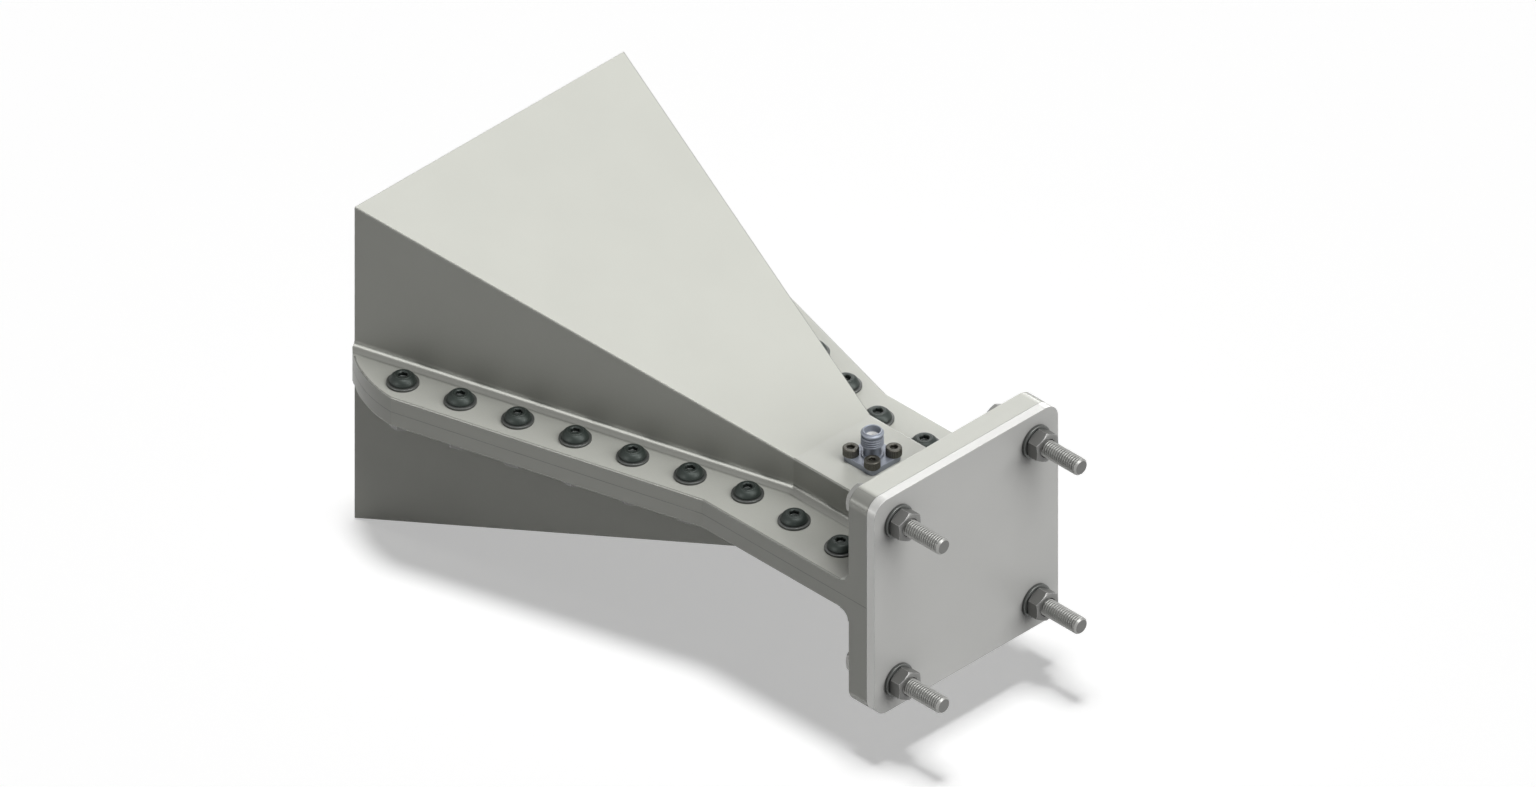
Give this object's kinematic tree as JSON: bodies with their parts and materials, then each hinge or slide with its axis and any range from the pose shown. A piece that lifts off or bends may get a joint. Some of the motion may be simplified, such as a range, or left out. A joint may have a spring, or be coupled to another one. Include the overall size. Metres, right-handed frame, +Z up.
{
  "type": "horn antenna",
  "caption": "Split pyramidal horn antenna with a square mouth, bolted seam flanges, a short waveguide, a square rear flange with a back plate and a threaded coaxial jack.",
  "frame": {"origin": "centre of the horn's mouth, in the plane of its rim", "axes": "+X out of the mouth along the line of sight, +Y to the horn's left, +Z up on the jack's side"},
  "size_m": [0.1994, 0.1214, 0.1028],
  "materials": {
    "horn_aluminium": "fine milled",
    "plate_aluminium": "fine milled",
    "black_steel": "black oxide",
    "zinc_steel": "plain satin",
    "nut_steel": "plain satin",
    "bolt_steel": "plain satin",
    "jack_steel": "turned",
    "white_plastic": "matte",
    "gold_brass": "gold plated"
  },
  "bodies": {
    "root": {"upper_horn_half": "horn_aluminium", "lower_horn_half": "horn_aluminium", "back_plate": "plate_aluminium", "left_seam_screws": "black_steel", "right_seam_screws": "black_steel", "left_head_washers": "zinc_steel", "right_head_washers": "zinc_steel", "left_nut_washers": "zinc_steel", "right_nut_washers": "zinc_steel", "left_seam_nuts": "nut_steel", "right_seam_nuts": "nut_steel", "bolt_washers": "zinc_steel", "lock_washers": "zinc_steel", "plate_washers": "zinc_steel", "jack_body": "jack_steel", "jack_insulator": "white_plastic", "jack_centre_contact": "gold_brass", "jack_screws": "black_steel", "rear_bolt_upper_left": "bolt_steel", "rear_nut_upper_left": "nut_steel", "rear_bolt_upper_right": "bolt_steel", "rear_nut_upper_right": "nut_steel", "rear_bolt_lower_left": "bolt_steel", "rear_nut_lower_left": "nut_steel", "rear_bolt_lower_right": "bolt_steel", "rear_nut_lower_right": "nut_steel"}
  },
  "joints": []
}
